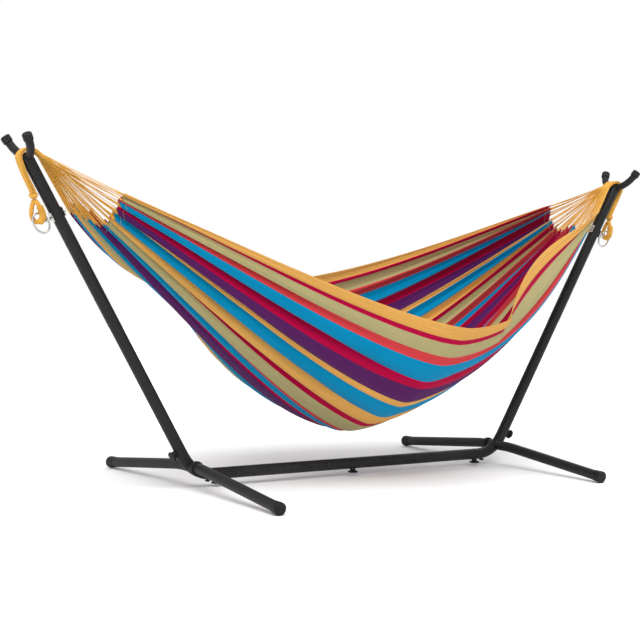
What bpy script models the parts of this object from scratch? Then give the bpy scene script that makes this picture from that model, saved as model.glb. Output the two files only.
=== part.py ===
"""Hammock on a steel stand. Metres, +Z up, X along the hammock, origin on the floor at the middle.

The two ends of the stand are the same set of pieces, turned half a turn about Z.
"""

from math import cos, exp, pi, radians, sin, tan

import bmesh
import bpy
from mathutils import Matrix, Vector

for old in list(bpy.data.objects):
    bpy.data.objects.remove(old, do_unlink=True)

GAP = 0.0003  # clearance between neighbouring pieces

# ---- driving dimensions -------------------------------------------------
TUBE_R = 0.019  # beam, elbows and arms, 38 mm tube
WALL = 0.0015
LEG_R = 0.017  # leg tubes, 34 mm
FORK_R = 0.0125  # fork, 25 mm tube

BEAM_Z = 0.0425  # axis of the beam
CORNER_X = 0.6211  # where the arm's axis meets the beam's axis
ARM_ANGLE = radians(59.7)  # arm above the floor
BEND_R = 0.12  # bend of the elbow tube, at its axis
BEAM_HALF = 0.470  # half of the centre beam
SEAM = 0.125  # seam between elbow and arm, along the arm from the corner
NECK = 0.046  # length of the arm's neck inside the elbow
SADDLE = 1.135  # low point of the fork, along the arm from the corner
FORK_BEND_R = 0.083
FORK_SPAN = radians(79.0)  # each prong's share of the fork's arc

CROSS_X, CROSS_Z = 0.6300, 0.0700  # where the legs go through the elbow
LEG_FLAT = 0.050  # straight run on each side of the crossing
LEG_BEND_R = 0.45
LONG_TOE, SHORT_TOE = radians(2.7), radians(1.5)  # legs lean towards the ends
LONG_REACH, SHORT_REACH = 0.5286, 0.5594  # crossing to the end of a foot cap, measured level
FOOT_R, FOOT_LEN = 0.0200, 0.032

HOLE_PITCH, HOLE_COUNT = 0.095, 5
HOLE_TOP = 0.942  # highest hook hole, along the arm
HOLE_R = 0.0040

KNOB_AT = 0.092  # clamp knob, along the arm
PAD_X = 0.534
PAD_R = 0.0175
PAD_BOTTOM = 0.0105
BOLT_X = 0.567

PIVOT_Z = 1.035  # the hammock swings about a line through both saddles
SPLIT_X = 1.150  # the strings swing inside this plane and rest on the fork outside it

ALONG = Vector((cos(ARM_ANGLE), 0, sin(ARM_ANGLE)))
OUT = Vector((sin(ARM_ANGLE), 0, -cos(ARM_ANGLE)))
ACROSS = Vector((0, 1, 0))
CORNER = Vector((CORNER_X, 0, BEAM_Z))
HALF_TURN = Matrix.Rotation(pi, 4, "Z")
ENDS = (("right", Matrix.Identity(4)), ("left", HALF_TURN))


def on_arm(along, out=0.0, across=0.0):
    return CORNER + ALONG * along + OUT * out + ACROSS * across


# ---- materials ----------------------------------------------------------
def material(name, colour, roughness, metallic=0.0):
    made = bpy.data.materials.new(name)
    made.use_nodes = True
    shader = made.node_tree.nodes["Principled BSDF"]
    shader.inputs["Base Color"].default_value = (*colour, 1)
    shader.inputs["Roughness"].default_value = roughness
    shader.inputs["Metallic"].default_value = metallic
    made.diffuse_color = (*colour, 1)
    return made


STEEL = ((0.045, 0.047, 0.050), 0.45, 0.3)
BLACK = ((0.012, 0.013, 0.014), 0.55, 0.0)
ZINC = ((0.62, 0.63, 0.62), 0.30, 0.9)
ROPE = ((0.78, 0.42, 0.09), 0.85, 0.0)
CLOTH = ((0.30, 0.10, 0.22), 0.90, 0.0)


# ---- shape helpers ------------------------------------------------------
def add_object(name, bm, look, smooth=35.0):
    bmesh.ops.recalc_face_normals(bm, faces=bm.faces)
    if bm.calc_volume(signed=True) < 0:
        bmesh.ops.reverse_faces(bm, faces=bm.faces)
    mesh = bpy.data.meshes.new(name)
    bm.to_mesh(mesh)
    bm.free()
    obj = bpy.data.objects.new(name, mesh)
    bpy.context.scene.collection.objects.link(obj)
    if look:
        mesh.materials.append(material(name + "_look", *look))
    mesh.shade_smooth()
    mesh.set_sharp_from_angle(angle=radians(smooth))
    return obj


def sides(bm, a, b):
    count = len(a)
    for i in range(count):
        j = (i + 1) % count
        bm.faces.new((a[i], a[j], b[j], b[i]))


def loft(name, rings, look, inner=None, smooth=35.0, closed=False):
    """A solid through the rings of points. inner gives the rings of a bore that is open at both ends."""
    bm = bmesh.new()
    outer = [[bm.verts.new(p) for p in ring] for ring in rings]
    for a, b in zip(outer, outer[1:]):
        sides(bm, a, b)
    if closed:
        sides(bm, outer[-1], outer[0])
    elif inner:
        bore = [[bm.verts.new(p) for p in ring] for ring in inner]
        for a, b in zip(bore, bore[1:]):
            sides(bm, a, b)
        sides(bm, outer[0], bore[0])
        sides(bm, outer[-1], bore[-1])
    else:
        bm.faces.new(outer[0])
        bm.faces.new(outer[-1])
    return add_object(name, bm, look, smooth)


def ring_at(centre, tangent, side, radius, count, radius_b=None, power=1.0):
    """Points round a centre. side is a direction across the path, and radius_b the radius along it."""
    tangent = tangent.normalized()
    side = (side - tangent * side.dot(tangent)).normalized()
    other = tangent.cross(side)
    radius_b = radius if radius_b is None else radius_b
    ring = []
    for k in range(count):
        a = 2 * pi * k / count
        c, s = cos(a), sin(a)
        c = (abs(c) ** power) * (1 if c >= 0 else -1)
        s = (abs(s) ** power) * (1 if s >= 0 else -1)
        ring.append(centre + side * (radius_b * c) + other * (radius * s))
    return ring


def tangents(path):
    out = []
    for i in range(len(path)):
        a, b = path[max(i - 1, 0)], path[min(i + 1, len(path) - 1)]
        out.append((b - a).normalized())
    return out


def pipe(name, path, side, radius, look, count=20, wall=None, radii=None, smooth=35.0):
    """A round tube along a path that lies in the plane across side."""
    path = [Vector(p) for p in path]
    dirs = tangents(path)
    radii = radii or [radius] * len(path)
    outer = [ring_at(p, t, side, r, count) for p, t, r in zip(path, dirs, radii)]
    inner = None
    if wall:
        inner = [ring_at(p, t, side, r - wall, count) for p, t, r in zip(path, dirs, radii)]
    return loft(name, outer, look, inner, smooth)


def turned(name, profile, origin, axis, look, count=16, side=ACROSS, smooth=35.0):
    """A body of revolution. profile is a closed outline of (radius, height) pairs; 0 radius is the axis."""
    axis = axis.normalized()
    side = (side - axis * side.dot(axis)).normalized()
    other = axis.cross(side)
    bm = bmesh.new()
    rows = []
    for radius, height in profile:
        if radius < 1e-6:
            rows.append([bm.verts.new(axis * height)])
            continue
        row = []
        for k in range(count):
            a = 2 * pi * k / count
            row.append(bm.verts.new(axis * height + (side * cos(a) + other * sin(a)) * radius))
        rows.append(row)
    for a, b in zip(rows, rows[1:] + rows[:1]):
        if len(a) == 1 and len(b) == 1:
            continue
        for k in range(count):
            j = (k + 1) % count
            if len(a) == 1:
                bm.faces.new((a[0], b[j], b[k]))
            elif len(b) == 1:
                bm.faces.new((a[k], a[j], b[0]))
            else:
                bm.faces.new((a[k], a[j], b[j], b[k]))
    obj = add_object(name, bm, look, smooth)
    obj.location = origin
    return obj


def cutter(obj):
    obj.hide_render = True
    obj.display_type = "WIRE"
    return obj


def cut(target, tool):
    made = target.modifiers.new("cut_" + tool.name[:40], "BOOLEAN")
    made.operation = "DIFFERENCE"
    made.solver = "EXACT"
    made.object = tool


def rod_cutter(name, centre, axis, radius, length, count=10):
    axis = axis.normalized()
    side = ACROSS if abs(axis.dot(ACROSS)) < 0.9 else Vector((1, 0, 0))
    path = [centre - axis * length / 2, centre + axis * length / 2]
    return cutter(pipe(name, path, side, radius, None, count))


def placed(obj, turn):
    """Moves a piece that was made at the right-hand end to its own end."""
    obj.matrix_world = turn @ Matrix.Translation(obj.location)
    return obj


def arc(centre, start, swing_axis, angle, steps):
    """Points from centre + start, swung about an axis."""
    return [
        centre + Matrix.Rotation(angle * k / steps, 3, swing_axis) @ start
        for k in range(steps + 1)
    ]


# ---- frame tubes --------------------------------------------------------
def make_beam():
    beam = pipe(
        "centre_beam",
        [(-BEAM_HALF, 0, BEAM_Z), (BEAM_HALF, 0, BEAM_Z)],
        ACROSS, TUBE_R, STEEL, wall=WALL,
    )
    cut(beam, rod_cutter("centre_stud_hole", Vector((0, 0, BEAM_Z - TUBE_R)), Vector((0, 0, 1)), 0.0046, 0.012))


def make_elbow(side, turn):
    tangent_len = BEND_R * tan(ARM_ANGLE / 2)
    bend_centre = Vector((CORNER_X - tangent_len, 0, BEAM_Z + BEND_R))
    steps = 7
    bend = [
        bend_centre + Vector((sin(ARM_ANGLE * k / steps), 0, -cos(ARM_ANGLE * k / steps))) * BEND_R
        for k in range(steps + 1)
    ]
    path = [Vector((BEAM_HALF + GAP, 0, BEAM_Z))] + bend + [on_arm(SEAM)]
    elbow = placed(pipe(side + "_elbow", path, ACROSS, TUBE_R, STEEL, wall=WALL), turn)
    cross = Vector((CROSS_X, 0, CROSS_Z))
    holes = (
        rod_cutter(side + "_leg_hole", cross, ACROSS, LEG_R + GAP, 0.08, 20),
        rod_cutter(side + "_knob_hole", on_arm(KNOB_AT, TUBE_R), OUT, 0.0046, 0.012),
        rod_cutter(side + "_pad_hole", Vector((PAD_X, 0, BEAM_Z - TUBE_R)), Vector((0, 0, 1)), 0.0046, 0.012),
        rod_cutter(side + "_bolt_hole", Vector((BOLT_X, 0, BEAM_Z - TUBE_R)), Vector((0, 0, 1)), 0.0041, 0.012),
    )
    for hole in holes:
        cut(elbow, placed(hole, turn))


def fork_path(steps, span=FORK_SPAN):
    centre = on_arm(SADDLE + FORK_BEND_R)
    points = []
    for k in range(steps + 1):
        a = -span + 2 * span * k / steps
        points.append(centre + ACROSS * (FORK_BEND_R * sin(a)) - ALONG * (FORK_BEND_R * cos(a)))
    return points


def make_arm(side, turn):
    top = SADDLE - 0.0015
    neck_r = TUBE_R - WALL - GAP
    stations = (
        (SEAM - NECK, neck_r), (SEAM + GAP, neck_r), (SEAM + GAP, TUBE_R), (top, TUBE_R),
    )
    rings = [ring_at(on_arm(s), ALONG, ACROSS, r, 20) for s, r in stations]
    inner_r = neck_r - WALL
    bore = [ring_at(on_arm(s), ALONG, ACROSS, inner_r, 20) for s in (stations[0][0], top)]
    arm = placed(loft(side + "_arm", rings, STEEL, bore), turn)
    saddle_cut = pipe(side + "_saddle_cut", fork_path(12), OUT, FORK_R + GAP, None, 12)
    cut(arm, placed(cutter(saddle_cut), turn))
    for k in range(HOLE_COUNT):
        at = on_arm(HOLE_TOP - k * HOLE_PITCH)
        cut(arm, placed(rod_cutter(f"{side}_hook_hole_{k}", at, OUT, HOLE_R, 0.06), turn))
    at = on_arm(KNOB_AT, TUBE_R - 0.004)
    cut(arm, placed(rod_cutter(side + "_knob_bore", at, OUT, 0.0046, 0.014), turn))


def make_fork(side, turn):
    path = fork_path(12)
    placed(pipe(side + "_fork", path, OUT, FORK_R, STEEL, 12, wall=0.0018), turn)
    cap_r, cap_len, reach = 0.0155, 0.022, 0.018
    inside = (FORK_R + GAP) / cos(pi / 14)
    profile = (
        (0, 0.0), (cap_r - 0.003, 0.0), (cap_r - 0.0008, -0.0015), (cap_r, -0.004),
        (cap_r, -cap_len + 0.001), (cap_r - 0.001, -cap_len), (inside, -cap_len),
        (inside, -cap_len + reach), (0, -cap_len + reach),
    )
    near = "front" if side == "right" else "back"
    for name, end in ((near, 0), ("back" if near == "front" else "front", -1)):
        tip = path[end]
        way = (path[0] - path[1] if end == 0 else path[-1] - path[-2]).normalized()
        cap = turned(f"{side}_{name}_prong_cap", profile, Vector(), way, BLACK, 14)
        cap.location = tip + way * (cap_len - reach + GAP)
        placed(cap, turn)


# ---- legs ---------------------------------------------------------------
def leg_slope(reach):
    """Angle below level that stands the end of the foot cap on the floor."""
    low, high = 0.0, radians(15)
    for _ in range(60):
        a = (low + high) / 2
        level = reach - LEG_FLAT - LEG_BEND_R * sin(a)
        drop = LEG_BEND_R * (1 - cos(a)) + level * tan(a)
        if CROSS_Z - drop - FOOT_R * cos(a) > 0:
            low = a
        else:
            high = a
    return (low + high) / 2


def leg_path(flat, toe, start, reach, trim):
    """A leg's axis from start to the end of its tube, running out along flat. start is measured level."""
    a = leg_slope(reach)
    down = Vector((0, 0, -1))
    cross = Vector((CROSS_X, 0, CROSS_Z))
    points = [cross + flat * start]
    cross += flat * LEG_FLAT
    points.append(cross.copy())
    way = flat * cos(toe) + Vector((sin(toe), 0, 0))
    steps = 4
    for k in range(1, steps + 1):
        b = a * k / steps
        points.append(cross + way * (LEG_BEND_R * sin(b)) + down * (LEG_BEND_R * (1 - cos(b))))
    run = (reach - LEG_FLAT - LEG_BEND_R * sin(a)) / cos(a) - trim
    line = way * cos(a) + down * sin(a)
    points.append(points[-1] + line * run)
    return points, line


def make_legs(side, turn):
    joint = 0.040
    cap_wall = 0.004
    r_in = LEG_R + GAP
    profile = (
        (0, 0), (FOOT_R - 0.0008, 0), (FOOT_R, -0.0010), (FOOT_R, -0.012), (FOOT_R - 0.0012, -0.020),
        (FOOT_R - 0.0015, -FOOT_LEN), (r_in, -FOOT_LEN), (r_in, -cap_wall), (0, -cap_wall),
    )
    for kind, flat, toe, start, reach in (
        ("long", -ACROSS, LONG_TOE, -joint, LONG_REACH),
        ("short", ACROSS, SHORT_TOE, joint + GAP, SHORT_REACH),
    ):
        points, line = leg_path(flat, toe, start, reach, cap_wall + GAP)
        level = Vector((0, 0, 1)).cross(line)
        placed(pipe(f"{side}_{kind}_leg", points, level, LEG_R, STEEL, 20, wall=WALL), turn)
        cap = turned(f"{side}_{kind}_leg_foot_cap", profile, Vector(), line, BLACK, 20)
        cap.location = points[-1] + line * (cap_wall + GAP)
        placed(cap, turn)
    collar = (
        (r_in, -0.006), (0.0215, -0.006), (0.0225, -0.005), (0.0225, 0.005), (0.0215, 0.006), (r_in, 0.006),
    )
    piece = turned(side + "_leg_collar", collar, Vector(), ACROSS, BLACK, 20, side=Vector((1, 0, 0)))
    piece.location = Vector((CROSS_X, joint, CROSS_Z))
    placed(piece, turn)


# ---- screw feet, knobs and bolts ----------------------------------------
def make_pad(name, x):
    top = BEAM_Z - TUBE_R - GAP
    hub_r = 0.0095
    profile = (
        (0, PAD_BOTTOM), (PAD_R - 0.001, PAD_BOTTOM), (PAD_R, PAD_BOTTOM + 0.001),
        (PAD_R, PAD_BOTTOM + 0.0035), (PAD_R - 0.0015, PAD_BOTTOM + 0.005),
        (hub_r + 0.001, PAD_BOTTOM + 0.006), (hub_r, PAD_BOTTOM + 0.007),
        (hub_r, top - 0.0007), (hub_r - 0.0005, top), (0.0043, top),
        (0.0043, PAD_BOTTOM + 0.006), (0, PAD_BOTTOM + 0.006),
    )
    turned(name + "_foot_pad", profile, Vector((x, 0, 0)), Vector((0, 0, 1)), BLACK, 16,
           side=Vector((1, 0, 0)))
    low = PAD_BOTTOM + 0.006 + GAP
    stud = ((0, low), (0.004, low), (0.004, BEAM_Z - 0.007), (0.003, BEAM_Z - 0.006), (0, BEAM_Z - 0.006))
    turned(name + "_foot_stud", stud, Vector((x, 0, 0)), Vector((0, 0, 1)), ZINC, 10,
           side=Vector((1, 0, 0)))


def make_knob(side, turn):
    base = TUBE_R + 0.0008
    lobes, count, r = 7, 28, 0.0165
    rings = []
    for height, radius, wave in (
        (base, 0.0125, 0), (base + 0.005, 0.0125, 0), (base + 0.006, 0.0105, 0),
        (base + 0.0085, 0.0105, 0), (base + 0.0095, r - 0.001, 0.5), (base + 0.0105, r, 1),
        (base + 0.0165, r, 1), (base + 0.018, r - 0.002, 0.6),
    ):
        ring = []
        for k in range(count):
            a = 2 * pi * k / count
            rr = radius - 0.0011 * wave * (1 - cos(lobes * a)) / 2
            ring.append(OUT * height + ACROSS * (rr * cos(a)) + ALONG * (rr * sin(a)))
        rings.append(ring)
    knob = loft(side + "_clamp_knob", rings, BLACK)
    knob.location = on_arm(KNOB_AT)
    placed(knob, turn)
    bore = rod_cutter(side + "_knob_bolt_bore", on_arm(KNOB_AT, base + 0.003), OUT, 0.0040 + GAP, 0.014)
    cut(knob, placed(bore, turn))
    low, high = 0.0095, base + 0.0100 - GAP
    bolt = ((0, low), (0.003, low), (0.004, low + 0.001), (0.004, high), (0, high))
    piece = turned(side + "_clamp_bolt", bolt, Vector(), OUT, ZINC, 10)
    piece.location = on_arm(KNOB_AT)
    placed(piece, turn)


def make_elbow_bolt(side, turn):
    under = BEAM_Z - TUBE_R - 0.0006
    profile = (
        (0, under - 0.0055), (0.0055, under - 0.0050), (0.0088, under - 0.0025), (0.0092, under - 0.0010),
        (0.0092, under), (0.0035, under), (0.0035, under + 0.010), (0, under + 0.010),
    )
    piece = turned(side + "_elbow_bolt", profile, Vector(), Vector((0, 0, 1)), BLACK, 14,
                   side=Vector((1, 0, 0)))
    piece.location = Vector((BOLT_X, 0, 0))
    placed(piece, turn)


# ---- hook hardware ------------------------------------------------------
def plate(name, out_from, out_to, turn):
    """A plate with rounded corners that lies on the arm, with a hole for the eye bolt."""
    half_long, half_wide, corner = 0.0150, 0.0120, 0.003
    outline = []
    for ci, (sl, sw) in enumerate(((1, 1), (-1, 1), (-1, -1), (1, -1))):
        for k in range(4):
            a = pi / 2 * (ci + k / 3)
            outline.append((
                sl * (half_long - corner) + corner * cos(a),
                sw * (half_wide - corner) + corner * sin(a),
            ))
    rings = [[ALONG * u + ACROSS * v + OUT * o for u, v in outline] for o in (out_from, out_to)]
    piece = loft(name, rings, ZINC)
    piece.location = on_arm(HOLE_TOP)
    placed(piece, turn)
    hole = rod_cutter(name + "_hole", on_arm(HOLE_TOP, (out_from + out_to) / 2), OUT, HOLE_R, 0.02)
    cut(piece, placed(hole, turn))


def make_hook_set(side, turn):
    plate(side + "_outer_hook_plate", TUBE_R + 0.0005, TUBE_R + 0.0030, turn)
    plate(side + "_inner_hook_plate", -TUBE_R - 0.0030, -TUBE_R - 0.0005, turn)
    # eye bolt: a shank through the arm that ends in a round eye outside it
    shank_r, eye_r = 0.0035, 0.0085
    neck = TUBE_R + 0.0035
    eye_centre = neck + 0.003 + eye_r
    path = [on_arm(HOLE_TOP, -0.031), on_arm(HOLE_TOP, neck - 0.001)]
    for k in range(11):
        a = pi - radians(305) * k / 10
        path.append(on_arm(HOLE_TOP, eye_centre) + OUT * (eye_r * cos(a)) + ACROSS * (eye_r * sin(a)))
    placed(pipe(side + "_eye_bolt", path, ALONG, shank_r, ZINC, 8), turn)
    nut_low, nut_high, flat = -TUBE_R - 0.0098, -TUBE_R - 0.0034, 0.0068
    rings = []
    for o, r in ((nut_low, flat * 0.96), (nut_low + 0.0008, flat), (nut_high, flat)):
        rings.append([
            OUT * o + (ACROSS * cos(pi / 3 * k) + ALONG * sin(pi / 3 * k)) * (r / cos(pi / 6))
            for k in range(6)
        ])
    bore = [[
        OUT * o + (ACROSS * cos(pi / 3 * k) + ALONG * sin(pi / 3 * k)) * (shank_r + GAP) / cos(pi / 6)
        for k in range(6)
    ] for o in (nut_low, nut_high)]
    nut = loft(side + "_eye_nut", rings, ZINC, bore)
    nut.location = on_arm(HOLE_TOP)
    placed(nut, turn)


# rope loop: it hangs in a plane across the arm, and the S-hook passes through it
LOOP_TOP = on_arm(1.018, 0.0400)
LOOP_LOW = on_arm(0.950, 0.0625)
STRAND_R = 0.0070
LOOP_HALF = 0.0235


def make_s_hook(side, turn):
    """The upper curl goes over the bend of the rope loop, the lower curl through the eye of the bolt."""
    rod = 0.0032
    down = (LOOP_LOW - LOOP_TOP).normalized()
    away = down.cross(ACROSS).normalized()
    if away.dot(OUT) < 0:
        away = -away
    top, curl_r = LOOP_LOW - down * 0.010, 0.0159
    points = [top - away * curl_r + down * 0.004]
    for k in range(7):
        a = pi * k / 6
        points.append(top - away * (curl_r * cos(a)) - down * (curl_r * sin(a)))
    for along, out in (
        (0.0060, 0.0795), (-0.0140, 0.0760), (-0.0290, 0.0620), (-0.0270, 0.0440),
        (-0.0120, 0.0345), (0.0, 0.0340), (0.0110, 0.0335),
    ):
        points.append(on_arm(HOLE_TOP + along, out))
    placed(pipe(side + "_s_hook", spline(points, 2), ACROSS, rod, ZINC, 6), turn)


def spline(points, per):
    """A smooth curve through the points."""
    out = []
    count = len(points)
    for i in range(count - 1):
        p0, p1, p2, p3 = points[max(i - 1, 0)], points[i], points[i + 1], points[min(i + 2, count - 1)]
        for k in range(per):
            t = k / per
            out.append(0.5 * (
                2 * p1 + (p2 - p0) * t + (2 * p0 - 5 * p1 + 4 * p2 - p3) * t * t
                + (3 * p1 - p0 - 3 * p2 + p3) * t ** 3
            ))
    out.append(points[-1].copy())
    return out


def make_ropes(side, turn):
    # strings bundled over the fork: inside the split plane they belong to the swinging part
    down = (LOOP_LOW - LOOP_TOP).normalized()
    band = 0.0036
    stations = (
        (Vector((SPLIT_X + 0.0005, 0, PIVOT_Z - 0.0095)), 0.0185, band),
        (Vector((1.1690, 0, 1.0395)), 0.0185, band),
        (Vector((1.1860, 0, 1.0440)), 0.0180, band),
        (Vector((1.2030, 0, 1.0415)), 0.0180, band),
        (Vector((1.2150, 0, 1.0300)), 0.0180, band),
        (Vector((1.2180, 0, 1.0175)), 0.0175, band),
        (on_arm(1.1100, 0.0290), 0.0170, 0.0042),
        (on_arm(1.0800, 0.0320), 0.0145, 0.0060),
        (LOOP_TOP - down * 0.0200, 0.0100, 0.0095),
        (LOOP_TOP - down * 0.0005, 0.0098, 0.0095),
    )
    path = [s[0] for s in stations]
    dirs = tangents(path)
    dirs[0] = Vector((1, 0, 0))
    dirs[-1] = dirs[-2] = down
    rings = [ring_at(p, t, ACROSS, thick, 12, wide, 0.8) for (p, wide, thick), t in zip(stations, dirs)]
    placed(loft(side + "_saddle_ropes", rings, ROPE, smooth=60), turn)

    tie_top = LOOP_TOP - down * 0.0150
    tie = ((0.0112, 0.0), (0.0130, 0.0), (0.0136, 0.001), (0.0136, 0.0105), (0.0130, 0.0115), (0.0112, 0.0115))
    piece = turned(side + "_loop_tie", tie, Vector(), down, ROPE, 14)
    piece.location = tie_top
    placed(piece, turn)

    # the loop is a closed ring of rope, narrow at the tie and round at the bottom
    length = (LOOP_LOW - LOOP_TOP).length
    steps, outline = 20, []
    for k in range(steps):
        a = 2 * pi * k / steps
        u = (1 - cos(a)) / 2
        wide = LOOP_HALF * sin(a) * (0.42 + 0.58 * u)
        outline.append(LOOP_TOP + down * (STRAND_R + 0.001 + (length - STRAND_R - 0.001) * u) + ACROSS * wide)
    away = down.cross(ACROSS)
    rings = []
    for k in range(steps):
        way = outline[(k + 1) % steps] - outline[k - 1]
        rings.append(ring_at(outline[k], way, away, STRAND_R, 8))
    placed(loft(side + "_hanging_loop", rings, ROPE, smooth=60, closed=True), turn)

    # whipping: cord wound round one strand of the loop, the one towards -Y at both ends
    wound = [k for k in range(steps) if 0.18 < (k / steps) < 0.47]
    if side == "left":
        chosen = wound
    else:
        chosen = [steps - k for k in wound]
    chosen = sorted(chosen)
    path = [outline[k % steps] for k in chosen]
    dirs = [outline[(k + 1) % steps] - outline[(k - 1) % steps] for k in chosen]
    outer = [ring_at(p, d, away, STRAND_R + 0.0045, 12) for p, d in zip(path, dirs)]
    inner = [ring_at(p, d, away, STRAND_R + 0.0006, 12) for p, d in zip(path, dirs)]
    placed(loft(side + "_loop_whipping", outer, ROPE, inner, smooth=60), turn)


# ---- hammock bed --------------------------------------------------------
BED_NEAR, BED_FAR = radians(-45.8), radians(54.6)  # selvedges, round the swing line from straight down
SAG_LOW, SAG_NEAR, SAG_FAR = 0.859, 0.698, 0.691  # from the swing line to the cloth, half way along
SKEW, FULLNESS, TWIST = 0.174, 0.171, 0.041  # how the cloth's curve along X departs from an even sag
REACH = 1.190  # half of the distance between the saddles
BED_HALF = 0.955  # half of the cloth's length along X, where the strings begin
DRAWN_IN = 0.075  # how far the back of the bed is drawn in towards the left end
TAUT = 0.264  # share of the sag that the taut front selvedge loses towards the right end
CLOTH_T = 0.0022


def bed_shape(phi):
    """Sag half way along, the power of the sag curve, and the lengthways shift at an angle."""
    near = phi < 0
    f = abs(phi / (BED_NEAR if near else BED_FAR))
    depth = SAG_LOW + ((SAG_NEAR if near else SAG_FAR) - SAG_LOW) * f ** (1.125 if near else 3.09)
    power = 1.383 + (0.139 if near else 0.465) * f ** 1.25
    shift = -0.044 + (0.115 if near else -0.210) * f ** 1.5
    return depth, power, shift


def bed_point(x, phi, extra=0.0):
    depth, power, shift = bed_shape(phi)
    u = x / REACH
    fade = 1 - u * u
    sag = 1 - (abs(x - shift * fade) / REACH) ** power
    sag += fade * (SKEW * (u - 0.7 * u ** 3) - FULLNESS * (u * u - 0.2) + TWIST * u * phi)
    r = depth * sag + extra
    back = min(1.0, max(0.0, (phi - 0.16) / 0.30))
    r -= DRAWN_IN * exp(-(((x + 0.58) / 0.17) ** 2)) * back * back * (3 - 2 * back)
    front = min(1.0, max(0.0, (-phi - 0.627) / 0.17))
    if 0.265 < x < 1.05:
        r *= 1 - TAUT * sin(pi * (x - 0.265) / 0.785) ** 0.8 * front
    return Vector((x, r * sin(phi), PIVOT_Z - r * cos(phi)))


def bed_normal(x, phi):
    d = 1e-3
    a = bed_point(x + d, phi) - bed_point(x - d, phi)
    b = bed_point(x, phi + d) - bed_point(x, phi - d)
    n = a.cross(b).normalized()
    return n if n.z < 0 else -n


def make_bed():
    rows, columns = 26, 14
    bm = bmesh.new()
    skin = {}
    for i in range(rows + 1):
        u = -1 + 2 * i / rows
        for j in range(columns + 1):
            phi = BED_NEAR + (BED_FAR - BED_NEAR) * j / columns
            p = bed_point(u * BED_HALF, phi)
            n = bed_normal(u * BED_HALF * 0.999, phi)
            skin[i, j, 0] = bm.verts.new(p + n * CLOTH_T / 2)
            skin[i, j, 1] = bm.verts.new(p - n * CLOTH_T / 2)
    for i in range(rows):
        for j in range(columns):
            for k in (0, 1):
                bm.faces.new((skin[i, j, k], skin[i + 1, j, k], skin[i + 1, j + 1, k], skin[i, j + 1, k]))
    for i in range(rows):
        for j in (0, columns):
            bm.faces.new((skin[i, j, 0], skin[i + 1, j, 0], skin[i + 1, j, 1], skin[i, j, 1]))
    for j in range(columns):
        for i in (0, rows):
            bm.faces.new((skin[i, j, 0], skin[i, j + 1, 0], skin[i, j + 1, 1], skin[i, j, 1]))
    bed = add_object("hammock_bed", bm, CLOTH, 60)
    bed["about"] = "woven cloth bed"


def make_strings(side, turn):
    """The suspension strings of one end as one thin fan, from the cloth's end to the split plane."""
    sign = 1 if side == "right" else -1
    columns, steps = 14, 5
    bm = bmesh.new()
    skin = {}
    for j in range(columns + 1):
        v = -1 + 2 * j / columns
        phi = BED_NEAR + (BED_FAR - BED_NEAR) * j / columns
        edge = bed_point(sign * BED_HALF, phi)
        end = edge + (bed_point(sign * (BED_HALF + 0.01), phi) - edge).normalized() * 0.0015
        end_n = bed_normal(sign * BED_HALF * 0.999, phi)
        start = Vector((sign * (SPLIT_X - 0.0005), 0.0175 * v, PIVOT_Z - 0.0095 + 0.002 * v * v))
        start_n = Vector((0, 0.2 * v, -1)).normalized()
        for i in range(steps + 1):
            f = i / steps
            p = start.lerp(end, f)
            n = start_n.lerp(end_n, f).normalized()
            thick = 0.0042 * (1 - f) + 0.0028
            skin[i, j, 0] = bm.verts.new(p + n * thick / 2)
            skin[i, j, 1] = bm.verts.new(p - n * thick / 2)
    for i in range(steps + 1):
        for j in range(columns):
            for k in (0, 1):
                if i < steps:
                    bm.faces.new((skin[i, j, k], skin[i + 1, j, k], skin[i + 1, j + 1, k], skin[i, j + 1, k]))
            if i in (0, steps):
                bm.faces.new((skin[i, j, 0], skin[i, j + 1, 0], skin[i, j + 1, 1], skin[i, j, 1]))
    for i in range(steps):
        for j in (0, columns):
            bm.faces.new((skin[i, j, 0], skin[i + 1, j, 0], skin[i + 1, j, 1], skin[i, j, 1]))
    add_object(side + "_suspension_strings", bm, ROPE, 60)


make_beam()
make_pad("centre", 0.0)
for end, turned_by in ENDS:
    make_elbow(end, turned_by)
    make_arm(end, turned_by)
    make_fork(end, turned_by)
    make_legs(end, turned_by)
    make_knob(end, turned_by)
    make_elbow_bolt(end, turned_by)
    make_hook_set(end, turned_by)
    make_s_hook(end, turned_by)
    make_ropes(end, turned_by)
    make_strings(end, turned_by)
make_pad("right", PAD_X)
make_pad("left", -PAD_X)
make_bed()
bpy.context.view_layer.update()
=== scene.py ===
from math import cos, pi, radians, sin, sqrt

import bpy
import numpy as np
from mathutils import Matrix, Vector


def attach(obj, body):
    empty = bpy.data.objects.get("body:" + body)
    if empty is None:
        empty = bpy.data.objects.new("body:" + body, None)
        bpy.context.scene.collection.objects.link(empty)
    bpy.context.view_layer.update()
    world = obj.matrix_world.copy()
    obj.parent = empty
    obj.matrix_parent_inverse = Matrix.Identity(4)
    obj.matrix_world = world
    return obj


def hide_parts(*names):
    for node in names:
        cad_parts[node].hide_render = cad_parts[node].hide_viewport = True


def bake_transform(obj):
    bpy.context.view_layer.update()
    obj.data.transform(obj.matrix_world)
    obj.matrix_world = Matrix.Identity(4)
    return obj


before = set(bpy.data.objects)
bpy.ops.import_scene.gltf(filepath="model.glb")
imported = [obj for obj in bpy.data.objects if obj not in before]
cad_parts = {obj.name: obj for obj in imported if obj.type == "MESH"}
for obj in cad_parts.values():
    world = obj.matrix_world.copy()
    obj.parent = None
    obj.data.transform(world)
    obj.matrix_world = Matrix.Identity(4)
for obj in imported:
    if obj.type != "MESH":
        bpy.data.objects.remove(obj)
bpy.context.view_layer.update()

# ---- camera ---------------------------------------------------------------
YAW, PITCH, ROLL = 0.5889, 0.0448, 0.0186
forward = Vector((sin(YAW) * cos(PITCH), cos(YAW) * cos(PITCH), -sin(PITCH)))
level = Vector((cos(YAW), -sin(YAW), 0))
upright = level.cross(forward)
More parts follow.
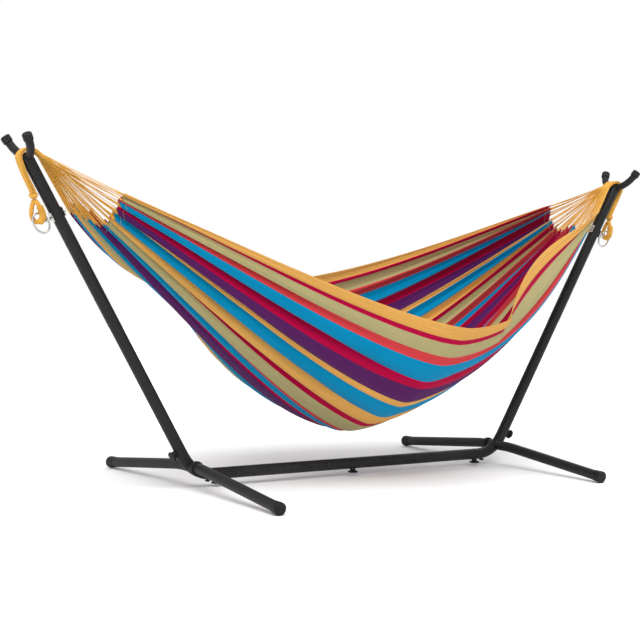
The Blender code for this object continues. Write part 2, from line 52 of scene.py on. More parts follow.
cam_x = cos(ROLL) * level + sin(ROLL) * upright
cam_y = -sin(ROLL) * level + cos(ROLL) * upright
camera = bpy.data.objects.new("camera", bpy.data.cameras.new("camera"))
bpy.context.scene.collection.objects.link(camera)
camera.data.lens, camera.data.sensor_width = 84.90, 36
camera.data.clip_end = 60
turn = Matrix((cam_x, cam_y, -forward)).transposed().to_4x4()
turn.translation = (-2.9428, -4.1872, 0.7572)
camera.matrix_world = turn
bpy.context.scene.camera = camera
bpy.context.scene.view_settings.view_transform = "Standard"

# ---- dimensions repeated from the CAD, in metres ---------------------------
ARM_ANGLE = radians(59.7)
ALONG = np.array((cos(ARM_ANGLE), 0, sin(ARM_ANGLE)))
OUT = np.array((sin(ARM_ANGLE), 0, -cos(ARM_ANGLE)))
ACROSS = np.array((0.0, 1.0, 0.0))
CORNER = np.array((0.6211, 0, 0.0425))
HOLE_TOP = 0.942
PIVOT_Z = 1.035
REACH = 1.190
TUBE_R = 0.019


def on_arm(along, out=0.0, across=0.0):
    return CORNER + ALONG * along + OUT * out + ACROSS * across


def unit(v):
    v = np.asarray(v, float)
    return v / np.linalg.norm(v)


LOOP_TOP, LOOP_LOW = on_arm(1.018, 0.0400), on_arm(0.950, 0.0625)
DOWN = unit(LOOP_LOW - LOOP_TOP)
STRAND_R, LOOP_HALF = 0.0070, 0.0235
rng = np.random.default_rng(11)


# ---- mesh helpers -----------------------------------------------------------
def make_object(name, verts, faces, attrs=None, smooth=True):
    mesh = bpy.data.meshes.new(name)
    mesh.from_pydata(np.asarray(verts).tolist(), [], [list(map(int, f)) for f in faces])
    for key, values in (attrs or {}).items():
        mesh.attributes.new(key, "FLOAT", "POINT").data.foreach_set("value", np.asarray(values, np.float32))
    if smooth:
        mesh.shade_smooth()
    obj = bpy.data.objects.new(name, mesh)
    bpy.context.scene.collection.objects.link(obj)
    return obj


def spline(points, per):
    """A smooth curve through the points."""
    p = np.asarray(points, float)
    out = []
    for i in range(len(p) - 1):
        a, b, c, d = p[max(i - 1, 0)], p[i], p[i + 1], p[min(i + 2, len(p) - 1)]
        for k in range(per):
            t = k / per
            out.append(0.5 * (2 * b + (c - a) * t + (2 * a - 5 * b + 4 * c - d) * t * t
                              + (3 * b - a - 3 * c + d) * t ** 3))
    out.append(p[-1])
    return np.array(out)


def frames(points, side, closed=False):
    p = np.asarray(points, float)
    t = np.roll(p, -1, 0) - np.roll(p, 1, 0) if closed else np.gradient(p, axis=0)
    t /= np.linalg.norm(t, axis=1)[:, None]
    u, now = [], np.asarray(side, float)
    for way in t:
        now = now - way * now.dot(way)
        now = now / np.linalg.norm(now)
        u.append(now)
    u = np.array(u)
    return t, u, np.cross(t, u)


class Tubes:
    """Collects round strands, with how far along and how far round each point is."""

    def __init__(self):
        self.verts, self.faces = [], []
        self.attrs = {"run": [], "cosa": [], "sina": [], "shade": []}
        self.count = 0

    def add(self, points, radius, count=8, side=(0.13, 1, 0.21), closed=False, shade=0.5, caps=True):
        p = np.asarray(points, float)
        n = len(p)
        radius = np.broadcast_to(np.asarray(radius, float), (n,))
        _, u, v = frames(p, side, closed)
        steps = np.linalg.norm(np.diff(p, axis=0), axis=1)
        run = np.concatenate(([0], np.cumsum(steps)))
        for k in range(count):
            a = 2 * pi * k / count
            if k == 0:
                rings = np.empty((n, count, 3))
            rings[:, k] = p + (u * cos(a) + v * sin(a)) * radius[:, None]
        self.verts.append(rings.reshape(-1, 3))
        angles = 2 * pi * np.arange(count) / count
        self.attrs["run"].append(np.repeat(run, count))
        self.attrs["cosa"].append(np.tile(np.cos(angles), n))
        self.attrs["sina"].append(np.tile(np.sin(angles), n))
        self.attrs["shade"].append(np.full(n * count, shade))
        base = self.count
        for i in range(n if closed else n - 1):
            j = (i + 1) % n
            for k in range(count):
                m = (k + 1) % count
                self.faces.append((base + i * count + k, base + i * count + m,
                                   base + j * count + m, base + j * count + k))
        if not closed and caps:
            self.faces.append([base + k for k in range(count)][::-1])
            self.faces.append([base + (n - 1) * count + k for k in range(count)])
        self.count += n * count

    def build(self, name, end=None):
        verts = np.concatenate(self.verts)
        if end == "left":
            verts = verts * (-1, -1, 1)
        return make_object(name, verts, self.faces, {k: np.concatenate(v) for k, v in self.attrs.items()})


# ---- material helpers ---------------------------------------------------------
class Graph:
    def __init__(self, name, **values):
        self.mat = bpy.data.materials.new(name)
        self.mat.use_nodes = True
        self.tree = self.mat.node_tree
        self.shader = self.tree.nodes["Principled BSDF"]
        for key, value in values.items():
            self.shader.inputs[key.replace("_", " ")].default_value = value

    def node(self, kind, values=None, **props):
        made = self.tree.nodes.new("ShaderNode" + kind)
        for key, value in props.items():
            setattr(made, key, value)
        for key, value in (values or {}).items():
            if isinstance(value, bpy.types.NodeSocket):
                self.tree.links.new(value, made.inputs[key])
            else:
                made.inputs[key].default_value = value
        return made

    def math(self, operation, *args):
        return self.node("Math", dict(enumerate(args)), operation=operation).outputs[0]

    def attribute(self, name):
        return self.node("Attribute", attribute_name=name).outputs["Fac"]

    def mix(self, factor, a, b, blend="MIX"):
        made = self.node("Mix", {0: factor, 6: a, 7: b}, data_type="RGBA", blend_type=blend)
        return made.outputs[2]

    def xyz(self, x, y, z=0.0):
        return self.node("CombineXYZ", {0: x, 1: y, 2: z}).outputs[0]

    def noise(self, vector, scale, detail=2.0, rough=0.5):
        values = {"Vector": vector, "Scale": scale, "Detail": detail, "Roughness": rough}
        return self.node("TexNoise", values).outputs["Fac"]

    def span(self, value, low, high, to_low=0.0, to_high=1.0):
        values = {0: value, 1: low, 2: high, 3: to_low, 4: to_high}
        return self.node("MapRange", values).outputs[0]

    def place(self):
        return self.node("TexCoord").outputs["Object"]

    def out(self, key, socket):
        self.tree.links.new(socket, self.shader.inputs[key])

    def bump(self, height, strength, distance, under=None):
        values = {"Height": height, "Strength": strength, "Distance": distance}
        if under is not None:
            values["Normal"] = under
        return self.node("Bump", values).outputs[0]


def linear(r, g, b, gain=1.0):
    out = []
    for c in (r, g, b):
        c = c / 255
        out.append(min(1.0, gain * (c / 12.92 if c <= 0.04045 else ((c + 0.055) / 1.055) ** 2.4)))
    return (*out, 1)


# ---- hard finishes -------------------------------------------------------------
def powder_coat():
    g = Graph("powder_coat_charcoal", Metallic=0.0, Specular_IOR_Level=0.17)
    at = g.place()
    broad = g.noise(at, 7, 3)
    fine = g.noise(at, 1500, 3, 0.65)
    peel = g.noise(at, 420, 2, 0.5)
    edge = g.node("NewGeometry").outputs["Pointiness"]
    worn = g.math("MULTIPLY", g.span(edge, 0.60, 0.72), g.span(g.noise(at, 90, 4, 0.7), 0.42, 0.62))
    base = g.mix(g.span(broad, 0.3, 0.7), (0.0110, 0.0114, 0.0128, 1), (0.0132, 0.0136, 0.0150, 1))
    speck = g.mix(g.span(fine, 0.35, 0.75), base, (0.0175, 0.018, 0.0195, 1))
    g.out("Base Color", g.mix(g.math("MULTIPLY", worn, 0.5), speck, (0.09, 0.09, 0.09, 1)))
    dust = g.span(g.noise(at, 16, 5, 0.6), 0.35, 0.7, 0.44, 0.50)
    g.out("Roughness", g.math("ADD", dust, g.math("MULTIPLY", g.math("SUBTRACT", peel, 0.5), 0.10)))
    first = g.bump(peel, 0.20, 0.0004)
    g.out("Normal", g.bump(fine, 0.28, 0.0003, first))
    return g.mat


def black_plastic():
    g = Graph("black_moulded_plastic", Metallic=0.0, Specular_IOR_Level=0.15)
    at = g.place()
    grain = g.node("TexVoronoi", {"Vector": at, "Scale": 900.0}, feature="SMOOTH_F1").outputs["Distance"]
    broad = g.noise(at, 45, 4, 0.6)
    edge = g.node("NewGeometry").outputs["Pointiness"]
    scuff = g.math("MULTIPLY", g.span(edge, 0.53, 0.62), g.span(g.noise(at, 240, 4, 0.7), 0.40, 0.65))
    base = g.mix(g.span(broad, 0.3, 0.7), (0.0045, 0.0046, 0.0050, 1), (0.0085, 0.0086, 0.0092, 1))
    g.out("Base Color", g.mix(g.math("MULTIPLY", scuff, 0.6), base, (0.075, 0.075, 0.075, 1)))
    g.out("Roughness", g.span(broad, 0.3, 0.7, 0.42, 0.60))
    g.out("Normal", g.bump(grain, 0.25, 0.0003))
    return g.mat


def zinc(name="zinc_plated_steel"):
    g = Graph(name, Metallic=1.0)
    at = g.place()
    patch = g.node("TexVoronoi", {"Vector": at, "Scale": 260.0}).outputs["Color"]
    tone = g.node("SeparateColor", {0: patch}).outputs[0]
    broad = g.noise(at, 70, 4, 0.6)
    base = g.mix(tone, (0.46, 0.46, 0.45, 1), (0.62, 0.62, 0.60, 1))
    g.out("Base Color", g.mix(g.span(broad, 0.50, 0.75, 0, 0.45), base, (0.34, 0.33, 0.30, 1)))
    g.out("Roughness", g.span(broad, 0.3, 0.7, 0.24, 0.44))
    g.out("Normal", g.bump(g.noise(at, 900, 3, 0.6), 0.15, 0.0002))
    return g.mat


def weld_metal():
    g = Graph("painted_weld", Metallic=0.0, Specular_IOR_Level=0.22)
    at = g.place()
    g.out("Base Color", g.mix(g.noise(at, 200, 3), (0.0125, 0.0130, 0.0145, 1), (0.021, 0.0215, 0.024, 1)))
    g.out("Roughness", g.span(g.noise(at, 300, 3), 0.3, 0.7, 0.42, 0.58))
    g.out("Normal", g.bump(g.noise(at, 700, 3, 0.6), 0.3, 0.0006))
    return g.mat


# ---- cord and cloth finishes -----------------------------------------------------
def cord_finish(name, light, dark, plies, pitch, relief):
    """Twisted cotton: plies that wind round the strand once every pitch metres."""
    g = Graph(name, Sheen_Weight=0.12, Sheen_Roughness=0.45, Specular_IOR_Level=0.08)
    angle = g.math("ARCTAN2", g.attribute("sina"), g.attribute("cosa"))
    run, shade = g.attribute("run"), g.attribute("shade")
    turns = g.math("MULTIPLY", run, 2 * pi * plies / pitch)
    wind = g.math("ADD", g.math("MULTIPLY", angle, float(plies)), turns)
    ply = g.math("ABSOLUTE", g.math("SINE", g.math("MULTIPLY", wind, 0.5)))
    at = g.place()
    fibre = g.noise(g.xyz(g.math("MULTIPLY", wind, 2.2), g.math("MULTIPLY", run, 260.0), shade), 3.0, 3, 0.6)
    # painted shade: the cord is coloured dark in the grooves between plies and light on their crowns
    tone = g.mix(g.span(ply, 0.05, 0.60), dark, light)
    tone = g.mix(g.math("MULTIPLY", g.span(fibre, 0.35, 0.7), 0.30), tone, (0.92, 0.66, 0.26, 1))
    tone = g.mix(g.span(shade, 0.0, 1.0, 0.0, 0.38), tone, dark)
    g.out("Base Color", g.mix(g.span(g.noise(at, 30, 3), 0.45, 0.75, 0, 0.25), tone, dark))
    g.out("Roughness", g.span(fibre, 0.3, 0.7, 0.78, 0.95))
    height = g.math("ADD", ply, g.math("MULTIPLY", fibre, 0.35))
    g.out("Normal", g.bump(height, 0.8, relief))
    return g.mat


GOLD, CRIMSON, KHAKI = linear(210, 156, 80), linear(168, 4, 58), linear(166, 156, 110)
CORAL, BLUE, PURPLE = linear(196, 60, 64), linear(0, 128, 172), linear(80, 28, 86)
STRIPES = (
    (GOLD, 0.046), (CRIMSON, 0.016), (KHAKI, 0.052), (CORAL, 0.034), (BLUE, 0.078), (CRIMSON, 0.026),
    (PURPLE, 0.078), (GOLD, 0.026), (BLUE, 0.078), (GOLD, 0.058), (CRIMSON, 0.022), (KHAKI, 0.080),
    (CORAL, 0.026), (BLUE, 0.050), (CRIMSON, 0.026), (PURPLE, 0.054),
)
CLOTH_WIDTH = 1.5


def striped_cloth():
    g = Graph("striped_cotton_cloth", Sheen_Weight=0.05, Sheen_Roughness=0.5, Specular_IOR_Level=0.04)
    across, along, from_end = (g.attribute(k) for k in ("across", "along", "from_end"))
    wander = g.noise(g.xyz(g.math("MULTIPLY", across, 260.0), g.math("MULTIPLY", along, 38.0)), 1.0, 2)
    w = g.math("ADD", across, g.math("MULTIPLY", g.math("SUBTRACT", wander, 0.5), 0.0016))
    folded = g.math("MINIMUM", w, g.math("SUBTRACT", CLOTH_WIDTH, w))
    share = g.math("DIVIDE", folded, CLOTH_WIDTH / 2)
    ramp = g.node("ValToRGB", {0: share})
    ramp.color_ramp.interpolation = "CONSTANT"
    place = 0.0
    for k, (colour, width) in enumerate(STRIPES):
        stop = ramp.color_ramp.elements[k] if k < 2 else ramp.color_ramp.elements.new(place / 0.75)
        stop.position, stop.color = place / 0.75, colour
        place += width
    colour = ramp.outputs[0]
    # plain weave: warp runs along the hammock and shows most
    pitch = 0.0017
    a = g.math("SINE", g.math("MULTIPLY", across, pi / pitch))
    b = g.math("SINE", g.math("MULTIPLY", along, pi / (pitch * 1.15)))
    over = g.math("SIGN", g.math("MULTIPLY", a, b))
    warp = g.math("MULTIPLY", g.math("ABSOLUTE", a), g.math("ADD", 0.78, g.math("MULTIPLY", over, 0.22)))
    weft = g.math("MULTIPLY", g.math("ABSOLUTE", b), g.math("SUBTRACT", 0.52, g.math("MULTIPLY", over, 0.40)))
    weave = g.math("MAXIMUM", warp, weft)
    slub = g.noise(g.xyz(g.math("MULTIPLY", across, 900.0), g.math("MULTIPLY", along, 9.0)), 1.0, 3, 0.6)
    fleck = g.noise(g.xyz(g.math("MULTIPLY", across, 500.0), g.math("MULTIPLY", along, 420.0)), 1.0, 2)
    broad = g.noise(g.xyz(g.math("MULTIPLY", across, 9.0), g.math("MULTIPLY", along, 3.0)), 1.0, 4, 0.6)
    # painted shade: the cloth is darker where the threads dip in the weave
    gain = g.span(weave, 0.15, 0.75, 0.80, 1.03)
    gain = g.math("MULTIPLY", gain, g.span(slub, 0.25, 0.75, 0.84, 1.16))
    gain = g.math("MULTIPLY", gain, g.span(fleck, 0.3, 0.7, 0.95, 1.05))
    gain = g.math("MULTIPLY", gain, g.span(broad, 0.3, 0.7, 0.95, 1.05))
    # painted shade: the cloth is made darker at the bottom of the deep gathered folds
    gain = g.math("MULTIPLY", gain, g.span(g.attribute("fold"), 0.2, 1.0, 1.0, 0.66))
    colour = g.node("VectorMath", {0: colour, "Scale": gain}, operation="SCALE").outputs[0]
    # hems: a stitched line beside each selvedge and a turned band at each end
    edge = g.math("MINIMUM", across, g.math("SUBTRACT", CLOTH_WIDTH, across))
    stitch_run = g.span(g.math("SINE", g.math("MULTIPLY", along, 2 * pi / 0.0060)), -0.2, 0.1)
    stitch_line = g.math("LESS_THAN", g.math("ABSOLUTE", g.math("SUBTRACT", edge, 0.0115)), 0.0009)
    side_stitch = g.math("MULTIPLY", stitch_run, stitch_line)
    end_run = g.span(g.math("SINE", g.math("MULTIPLY", across, 2 * pi / 0.0060)), -0.2, 0.1)
    end_line = g.math("LESS_THAN", g.math("ABSOLUTE", g.math("SUBTRACT", from_end, 0.022)), 0.0009)
    end_stitch = g.math("MULTIPLY", end_run, end_line)
    stitch = g.math("MAXIMUM", side_stitch, end_stitch)
    colour = g.mix(g.math("MULTIPLY", stitch, 0.8), colour, (0.80, 0.50, 0.16, 1))
    g.out("Base Color", colour)
    g.out("Roughness", g.span(slub, 0.3, 0.7, 0.80, 0.94))
    hem = g.math("MAXIMUM", g.span(edge, 0.0145, 0.0125), g.span(from_end, 0.0265, 0.0245))
    under = g.bump(g.math("ADD", hem, g.math("MULTIPLY", stitch, 0.6)), 0.7, 0.0012)
    g.out("Normal", g.bump(g.math("ADD", weave, g.math("MULTIPLY", slub, 0.5)), 0.55, 0.0005, under))
    return g.mat


STEEL, BLACK, ZINC = powder_coat(), black_plastic(), zinc()
WELD = weld_metal()
STRING = cord_finish("golden_cotton_string", linear(240, 182, 70), linear(178, 116, 30), 2, 0.0060, 0.0006)
ROPE = cord_finish("golden_cotton_rope", linear(240, 178, 66), linear(168, 104, 26), 6, 0.020, 0.0007)
CLOTH = striped_cloth()

for name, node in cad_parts.items():
    if any(word in name for word in ("beam", "elbow", "arm", "fork", "leg")):
        look = STEEL
    else:
        look = ZINC
    if any(word in name for word in ("cap", "pad", "knob", "collar", "elbow_bolt")):
        look = BLACK
    for material_slot in node.material_slots:
        material_slot.material = look


# ---- hammock bed ----------------------------------------------------------------
BED_NEAR, BED_FAR = radians(-45.8), radians(54.6)  # selvedges, round the swing line from straight down
SAG_LOW, SAG_NEAR, SAG_FAR = 0.859, 0.698, 0.691  # from the swing line to the cloth, half way along
SKEW, FULLNESS, TWIST = 0.174, 0.171, 0.041  # how the cloth's curve along X departs from an even sag
DRAWN_IN = 0.075  # how far the back of the bed is drawn in towards the left end
TAUT = 0.264  # share of the sag that the taut front selvedge loses towards the right end
TAUT_FROM, TAUT_TO = 0.265, 1.05  # where along X the front selvedge is taut
DEPTH_NEAR, DEPTH_FAR = 1.125, 3.09  # powers by which the sag goes from the lowest line to each selvedge
CURVE_LOW, CURVE_NEAR, CURVE_FAR = 1.383, 0.139, 0.465  # power of the curve along X, and what each side adds
SHIFT_LOW, SHIFT_NEAR, SHIFT_FAR = -0.044, 0.115, -0.210  # lengthways shift of the low point, likewise
MID_ANGLE = 0.155  # where the middle line of the cloth hangs: the bed leans a little to the back
EASE = 0.021  # radians that the cloth slips round between its selvedges and its middle
FOLD_COUNT = 15
# folds lie at borders of stripes: distance from the nearer selvedge, and strength
VALLEYS = (
    (0.056, 0.42), (0.131, 0.65), (0.226, 1.0), (0.330, 0.60), (0.356, 0.60),
    (0.434, 0.95), (0.503, 1.0), (0.607, 0.95), (0.683, 0.70),
)


def hang_angle(w):
    """Where a line of the cloth hangs, round the swing line, by its distance from the front selvedge."""
    half = CLOTH_WIDTH / 2
    from_near, from_far = w / half, (CLOTH_WIDTH - w) / half
    near = BED_NEAR + (MID_ANGLE - BED_NEAR) * from_near + EASE * np.sin(pi * np.clip(from_near, 0, 1) ** 3)
    far = BED_FAR + (MID_ANGLE - BED_FAR) * from_far + EASE * np.sin(pi * np.clip(from_far, 0, 1))
    return np.where(w <= half, near, far)


def bed_sag(x, phi):
    """Distance from the swing line to the smooth cloth: the same formula as the solid bed's."""
    near = phi < 0
    f = np.clip(np.abs(phi / np.where(near, BED_NEAR, BED_FAR)), 0, 1.2)
    rise = np.where(near, SAG_NEAR, SAG_FAR) - SAG_LOW
    depth = SAG_LOW + rise * f ** np.where(near, DEPTH_NEAR, DEPTH_FAR)
    power = CURVE_LOW + np.where(near, CURVE_NEAR, CURVE_FAR) * f ** 1.25
    shift = SHIFT_LOW + np.where(near, SHIFT_NEAR, SHIFT_FAR) * f ** 1.5
    u = x / REACH
    fade = 1 - u * u
    sag = 1 - (np.abs(x - shift * fade) / REACH) ** power
    sag = sag + fade * (SKEW * (u - 0.7 * u ** 3) - FULLNESS * (u * u - 0.2) + TWIST * u * phi)
    back = np.clip((phi - 0.16) / 0.30, 0, 1)
    r = depth * sag - DRAWN_IN * np.exp(-(((x + 0.58) / 0.17) ** 2)) * back * back * (3 - 2 * back)
    front = np.clip((-phi - 0.627) / 0.17, 0, 1)
    stretch = np.clip((x - TAUT_FROM) / (TAUT_TO - TAUT_FROM), 0, 1)
    return r * (1 - TAUT * np.clip(np.sin(pi * stretch), 0, 1) ** 0.8 * front)


def groove(w):
    """1 at the bottom of a fold, 0 on the crest between two folds."""
    folded = np.minimum(w, CLOTH_WIDTH - w)
    deep = np.zeros_like(folded)
    for place, strength in VALLEYS:
        deep = np.maximum(deep, strength * np.exp(-(np.abs(folded - place) / 0.0155) ** 1.5))
    return deep


def section_width(x):
    """How wide the smooth cloth is, from selvedge to selvedge, at a place along X."""
    phi = np.linspace(BED_NEAR, BED_FAR, 81)
    r = bed_sag(x, phi)
    return float(np.hypot(np.diff(r * np.sin(phi)), np.diff(r * np.cos(phi))).sum())


STATIONS = np.linspace(0, 1.15, 24)
WIDTHS = np.array([(section_width(x) + section_width(-x)) / 2 for x in STATIONS])


def gather(x):
    """Depth of the folds: the cloth keeps its width while the hammock narrows towards its ends."""
    narrow = np.interp(np.abs(x), STATIONS, WIDTHS) / FOLD_COUNT
    return 0.5 * np.sqrt(np.maximum((CLOTH_WIDTH / FOLD_COUNT) ** 2 - narrow ** 2, 0))


def bed_surface(x, w):
    phi = hang_angle(w)
    r = bed_sag(x, phi)
    folds = gather(x)
    swing = 0.35 * np.sin(2.1 * x + 9 * w) + 0.2 * np.sin(5.3 * x - 23 * w + 1)
    r = r - (0.0022 + 0.90 * folds) * groove(w + 0.0025 * np.sin(4 * x + 31 * w)) * (1 + 0.35 * swing)
    far_out = np.clip(np.abs(x) - 0.25, 0, 1)
    r = r + 0.0042 * far_out * np.sin(2 * pi * w / 0.027 + 1.5 * np.sin(7 * x) + 5 * w)
    r = r + 0.0016 * np.sin(19 * w + 3.1 * x) * np.cos(2.7 * x - 7 * w)
    return np.stack((x, r * np.sin(phi), PIVOT_Z - r * np.cos(phi)), -1)


def bed_half(w, sign):
    """Where the cloth ends along X, at a line of it: small tongues stand out on the crests."""
    back = np.clip((w - 0.62) / 0.45, 0, 1)
    left = 0.930 + 0.056 * back * back * (3 - 2 * back)
    right = 0.962 - 0.038 * np.exp(-(((w - 0.24) / 0.13) ** 2)) + 0.045 * np.exp(-((w / 0.07) ** 2))
    plain = np.where(sign < 0, left, right)
    return plain + 0.010 * (0.5 - groove(w)) + 0.004 * np.sin(61 * w + sign)


def make_bed():
    along_count, across_count = 171, 361
    w = np.linspace(0, CLOTH_WIDTH, across_count)[None, :].repeat(along_count, 0)
    u = np.sin(np.linspace(-1, 1, along_count) * 1.25) / sin(1.25)
    x = u[:, None] * bed_half(w, np.sign(u)[:, None])
    points = bed_surface(x, w)
    steps = np.linalg.norm(np.diff(points, axis=0), axis=2)
    run = np.concatenate((np.zeros((1, across_count)), np.cumsum(steps, 0)))
    total = run[-1]
    mid = run[along_count // 2]
    from_end = np.minimum(run, total - run)
    grid = np.arange(along_count * across_count).reshape(along_count, across_count)
    faces = np.stack((grid[:-1, :-1], grid[1:, :-1], grid[1:, 1:], grid[:-1, 1:]), -1).reshape(-1, 4)
    bed = make_object("striped_bed", points.reshape(-1, 3), faces, {
        "across": w.ravel(), "along": (run - mid).ravel(), "from_end": from_end.ravel(),
        # fold: how deep in a gathered fold each point lies, used only to paint shade into the cloth
        "fold": (groove(w) * np.clip(gather(x) / 0.04, 0, 1)).ravel(),
    })
    thick = bed.modifiers.new("thickness", "SOLIDIFY")
    thick.thickness, thick.offset = 0.0016, 0
    bpy.context.view_layer.objects.active = bed
    with bpy.context.temp_override(object=bed, active_object=bed, selected_objects=[bed]):
        bpy.ops.object.modifier_apply(modifier="thickness")
    bed.data.materials.append(CLOTH)
    return bed


# ---- strings -----------------------------------------------------------------
STRING_R, LAYERS, COLUMNS = 0.00115, 5, 17
BAND_HALF, BAND_DEEP = 0.0172, 0.0034  # half sizes of the band of strings where it lies over the fork
BUNDLE_HALF, BUNDLE_DEEP = 0.0090, 0.0085  # and of the round bundle that it becomes under the fork
ROUNDING = (0.55, 0.85, 1.0, 1.0)  # how far each point below the fork has gone from band to bundle
FREE_AT = (0, 0.03, 0.06, 0.10, 0.22, 0.36, 0.50, 0.64, 0.78, 0.90)  # shares of a string's free run
SLACK = 0.004
BAND = (
    ((1.1500, 0, 1.0262), 1.0), ((1.1690, 0, 1.0400), 1.0), ((1.1860, 0, 1.0447), 1.0),
    ((1.2030, 0, 1.0423), 1.0), ((1.2155, 0, 1.0303), 1.0), ((1.2190, 0, 1.0177), 0.97),
)


def string_end_lines():
    """The line of the cloth that each string is tied to, drawn together towards the crests of the folds."""
    count = LAYERS * COLUMNS
    place = (np.arange(count) + 0.5) / count * CLOTH_WIDTH
    valleys = sorted([v for v, _ in VALLEYS] + [CLOTH_WIDTH - v for v, _ in VALLEYS])
    edges = np.array([0.0] + valleys + [CLOTH_WIDTH])
    crests = (edges[1:] + edges[:-1]) / 2
    nearest = crests[np.clip(np.searchsorted(edges, place) - 1, 0, len(crests) - 1)]
    return np.clip(place + 0.45 * (nearest - place), 0.006, CLOTH_WIDTH - 0.006)


def make_strings(side):
    sign = 1 if side == "right" else -1
    tubes = Tubes()
    stations = [(np.array(p) * (sign, 1, 1), w) for p, w in BAND]
    turned = np.array((sign, 1, 1))
    under_fork = (on_arm(1.1100, 0.0296), on_arm(1.0800, 0.0322),
                  LOOP_TOP - DOWN * 0.0200, LOOP_TOP + DOWN * 0.0010)
    low = [point * turned for point in under_fork]
    centre = np.array([s[0] for s in stations] + low)
    tangent = np.gradient(centre, axis=0)
    tangent[0] = (sign, 0, 0.35)
    tangent /= np.linalg.norm(tangent, axis=1)[:, None]
    normal = np.cross(tangent, ACROSS)
    place = string_end_lines()
    half = bed_half(place, sign)
    ends = bed_surface(sign * (half + 0.0012), place)
    for k, end in enumerate(ends):
        column, layer = divmod(k, LAYERS)
        v = (column - (COLUMNS - 1) / 2 + (0.25 if layer % 2 else -0.25)) / ((COLUMNS - 1) / 2 + 0.25)
        h = (layer - (LAYERS - 1) / 2) / ((LAYERS - 1) / 2)
        route = []
        for i, point in enumerate(centre):
            if i < len(BAND):
                dy, dn = v * BAND_HALF * (stations[i][1]), h * BAND_DEEP
            else:
                m = ROUNDING[i - len(BAND)]
                a, b = v * sqrt(1 - h * h / 2), h * sqrt(1 - v * v / 2)
                dy = (1 - m) * v * BAND_HALF + m * a * BUNDLE_HALF
                dn = (1 - m) * h * BAND_DEEP + m * b * BUNDLE_DEEP
            route.append(point + ACROSS * dy + normal[i] * dn)
        first = route[0]
        # a straight run from the edge of the cloth, with a little slack
        sink = np.array((0, 0, -SLACK)) * 4
        free = [end + (first - end) * f + sink * f * (1 - f) * ((k * 7) % 5) / 4 for f in FREE_AT]
        path = np.concatenate((np.array(free), spline(route, 3)))
        radius = np.full(len(path), STRING_R)
        radius[0], radius[1], radius[2] = STRING_R * 0.9, STRING_R * 1.5, STRING_R * 1.15
        tubes.add(path, radius, 6, shade=float(rng.random()))
    made = tubes.build(side + "_strings")
    made.data.materials.append(STRING)
    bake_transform(made)
    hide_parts(side + "_suspension_strings", side + "_saddle_ropes")
    return made


# ---- hanging loops, ties and whippings ------------------------------------------
def loop_outline(steps, twist=0.0):
    length = np.linalg.norm(LOOP_LOW - LOOP_TOP)
    out = []
    for k in range(steps):
        a = 2 * pi * k / steps
        u = (1 - cos(a)) / 2
        wide = LOOP_HALF * sin(a) * (0.42 + 0.58 * u)
        way = ACROSS * cos(twist) + np.cross(DOWN, ACROSS) * sin(twist)
        out.append(LOOP_TOP + DOWN * (STRAND_R + 0.001 + (length - STRAND_R - 0.001) * u) + way * wide)
    return np.array(out)


def helix(path, side, radius, spins, phase=0.0, closed=False):
    t, u, v = frames(path, side, closed)
    n = len(path)
    a = 2 * pi * spins * np.arange(n) / (n if closed else n - 1) + phase
    return path + (u * np.cos(a)[:, None] + v * np.sin(a)[:, None]) * np.broadcast_to(radius, (n,))[:, None]


def make_loop(side):
    twist = radians(-42) if side == "left" else 0.0
    plane = np.cross(DOWN, ACROSS * cos(twist) + np.cross(DOWN, ACROSS) * sin(twist))
    outline = loop_outline(240, twist)
    tubes = Tubes()
    for ply in range(3):
        strand = helix(outline, plane, 0.0034, 9, 2 * pi * ply / 3, True)
        tubes.add(strand, 0.0037, 10, side=plane, closed=True, shade=0.3 + 0.1 * ply)
    loop = tubes.build(side + "_rope_loop", side)
    loop.data.materials.append(ROPE)
    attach(loop, "stand")
    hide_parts(side + "_hanging_loop")

    low, high = (0.18, 0.47) if side == "left" else (0.53, 0.82)
    count = len(outline)
    part = outline[int(low * count):int(high * count)]
    fine = spline(part, 12)
    tubes = Tubes()
    tubes.add(helix(fine, plane, 0.0094, 20), 0.00135, 6, shade=0.25)
    # painted shade: the core that shows between the wraps is given a darker tone than the rope
    tubes.add(spline(part[::6], 4), 0.0088, 14, side=plane, shade=0.8)
    whipping = tubes.build(side + "_whipping_cord", side)
    whipping.data.materials.append(STRING)
    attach(whipping, "stand")
    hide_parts(side + "_loop_whipping")

    tubes = Tubes()
    top = LOOP_TOP - DOWN * 0.0150
    core = np.array([top + DOWN * (0.0009 + 0.0098 * k / 239) for k in range(240)])
    tubes.add(helix(core, plane, 0.01235, 5), 0.00125, 6, shade=0.3)
    tie = tubes.build(side + "_tie_cord", side)
    tie.data.materials.append(STRING)
    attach(tie, "stand")
    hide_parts(side + "_loop_tie")


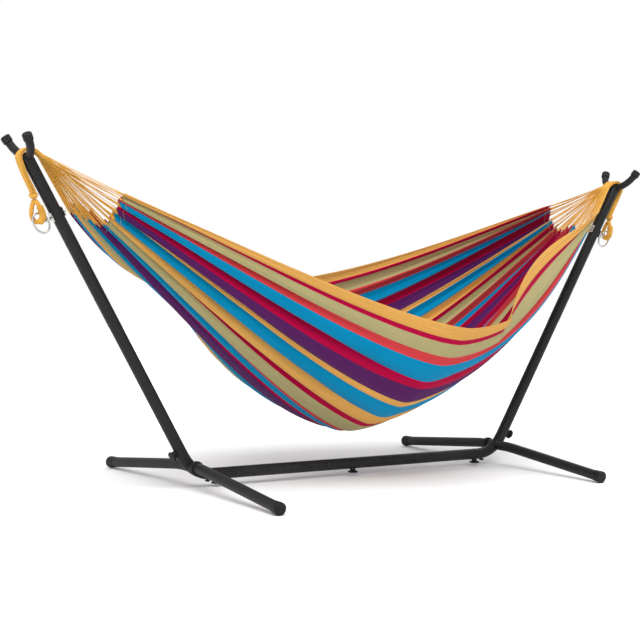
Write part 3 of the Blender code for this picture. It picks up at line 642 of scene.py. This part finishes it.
# ---- hook hardware -----------------------------------------------------------
def make_hardware(side):
    away = unit(np.cross(DOWN, ACROSS))
    if away.dot(OUT) < 0:
        away = -away
    top, curl = LOOP_LOW - DOWN * 0.010, 0.0159
    points = [top - away * curl + DOWN * 0.004]
    for k in range(7):
        a = pi * k / 6
        points.append(top - away * (curl * cos(a)) - DOWN * (curl * sin(a)))
    for along, out in ((0.0060, 0.0795), (-0.0140, 0.0760), (-0.0290, 0.0620), (-0.0270, 0.0440),
                       (-0.0120, 0.0345), (0.0, 0.0340), (0.0110, 0.0335)):
        points.append(on_arm(HOLE_TOP + along, out))
    path = spline(points, 6)
    radius = np.full(len(path), 0.0032)
    radius[0] = radius[-1] = 0.0021
    radius[1] = radius[-2] = 0.0029
    tubes = Tubes()
    tubes.add(path, radius, 14, side=ACROSS)
    hook = tubes.build(side + "_wire_s_hook", side)
    hook.data.materials.append(ZINC)
    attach(hook, "stand")
    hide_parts(side + "_s_hook")

    shank_r, eye_r = 0.0035, 0.0085
    neck = TUBE_R + 0.0035
    eye = neck + 0.003 + eye_r
    thread = np.arange(-0.031, -0.0150, 0.00025)
    shank = (-0.0140, 0.0, 0.010, neck - 0.003)
    path = [on_arm(HOLE_TOP, out) for out in (*thread, *shank)]
    radius = [shank_r - 0.0003 + 0.0003 * cos(2 * pi * o / 0.00125) for o in thread] + [shank_r] * 4
    for k in range(41):
        a = pi - radians(305) * k / 40
        path.append(on_arm(HOLE_TOP, eye) + OUT * (eye_r * cos(a)) + ACROSS * (eye_r * sin(a)))
        radius.append(shank_r)
    radius[0] = shank_r * 0.8
    tubes = Tubes()
    tubes.add(path, radius, 16, side=ALONG)
    bolt = tubes.build(side + "_threaded_eye_bolt", side)
    bolt.data.materials.append(ZINC)
    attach(bolt, "stand")
    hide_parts(side + "_eye_bolt")


def make_weld(side):
    """The bead where the fork sits in the end of the arm, with its ripples."""
    count = 160
    fork_r, bend_r, saddle = 0.0125, 0.083, 1.135
    line = []
    for k in range(count):
        a = 2 * pi * k / count
        across, out = TUBE_R * 0.992 * cos(a), TUBE_R * 0.992 * sin(a)
        centre = saddle + bend_r - sqrt(bend_r ** 2 - across ** 2)
        reach = sqrt(max(fork_r ** 2 - min(abs(out), fork_r) ** 2, 0))
        line.append(on_arm(centre - reach - 0.0006, out, across))
    tubes = Tubes()
    ripple = 0.0019 + 0.00030 * np.sin(np.arange(count) * 2 * pi / 5)
    tubes.add(line, ripple, 8, side=ALONG, closed=True)
    bead = tubes.build(side + "_fork_weld", side)
    bead.data.materials.append(WELD)
    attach(bead, "stand")


bed = make_bed()
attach(bed, "hammock")
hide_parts("hammock_bed")
for end in ("left", "right"):
    make_strings(end)
    make_loop(end)
    make_hardware(end)
    make_weld(end)

# ---- floor and light -------------------------------------------------------------
floor = make_object("floor", [(-9, -9, 0), (9, -9, 0), (9, 9, 0), (-9, 9, 0)], [(0, 1, 2, 3)])
g = Graph("pale_floor", Roughness=0.9, Specular_IOR_Level=0.1)
g.out("Base Color", g.mix(g.noise(g.place(), 2.0, 2), (0.93, 0.93, 0.93, 1), (0.95, 0.95, 0.95, 1)))
floor.data.materials.append(g.mat)

world = bpy.data.worlds.new("studio")
bpy.context.scene.world = world
world.use_nodes = True
tree = world.node_tree
ray = tree.nodes.new("ShaderNodeLightPath").outputs["Is Camera Ray"]
bright = tree.nodes.new("ShaderNodeMapRange")
bright.inputs[3].default_value, bright.inputs[4].default_value = 0.78, 1.0
tree.links.new(ray, bright.inputs[0])
tree.nodes["Background"].inputs[0].default_value = (1, 1, 1, 1)
tree.links.new(bright.outputs[0], tree.nodes["Background"].inputs[1])


def soft_sun(name, source, strength, spread):
    light = bpy.data.lights.new(name, "SUN")
    light.energy, light.angle = strength, radians(spread)
    obj = bpy.data.objects.new(name, light)
    bpy.context.scene.collection.objects.link(obj)
    obj.rotation_euler = (-Vector(source)).to_track_quat("-Z", "Y").to_euler()


soft_sun("key", (-1.4, -2.2, 4.2), 2.5, 55)
soft_sun("rim", (2.6, 2.4, 3.0), 0.35, 40)

bpy.context.view_layer.update()
